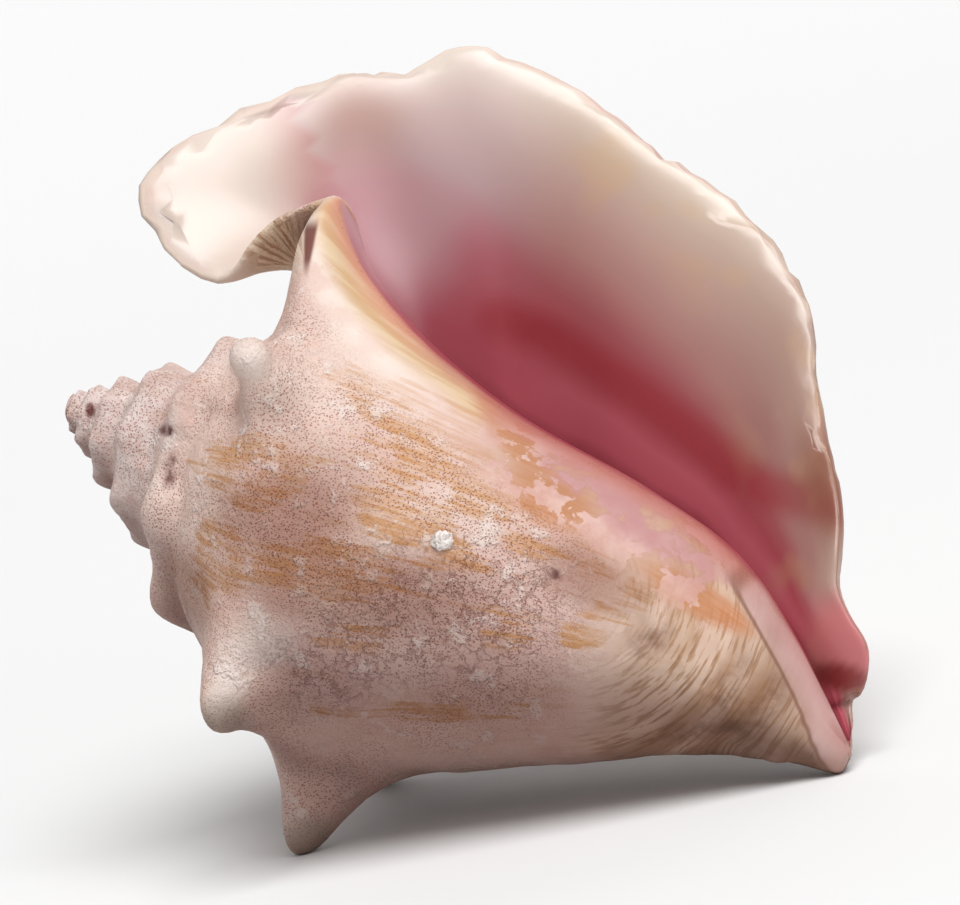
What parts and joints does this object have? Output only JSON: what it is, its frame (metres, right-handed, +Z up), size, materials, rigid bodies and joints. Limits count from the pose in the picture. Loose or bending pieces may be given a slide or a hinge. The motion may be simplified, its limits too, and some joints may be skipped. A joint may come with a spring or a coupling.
{
  "type": "conch shell",
  "caption": "Large sea conch shell with a knobbed spire, blunt shoulder spines, a tapering canal and a wide flared lip around an open mouth.",
  "frame": {"origin": "centre of the bounding box in X and Y, on the surface the shell rests on", "axes": "+Z up as it rests on two shoulder spines and the canal end, -Y towards the open mouth, +X from the spire to the canal end"},
  "size_m": [0.202, 0.1342, 0.1975],
  "materials": {
    "shell": "chalky and pitted outside, glossy pink inside"
  },
  "bodies": {
    "root": {"shell": "shell"}
  },
  "joints": []
}
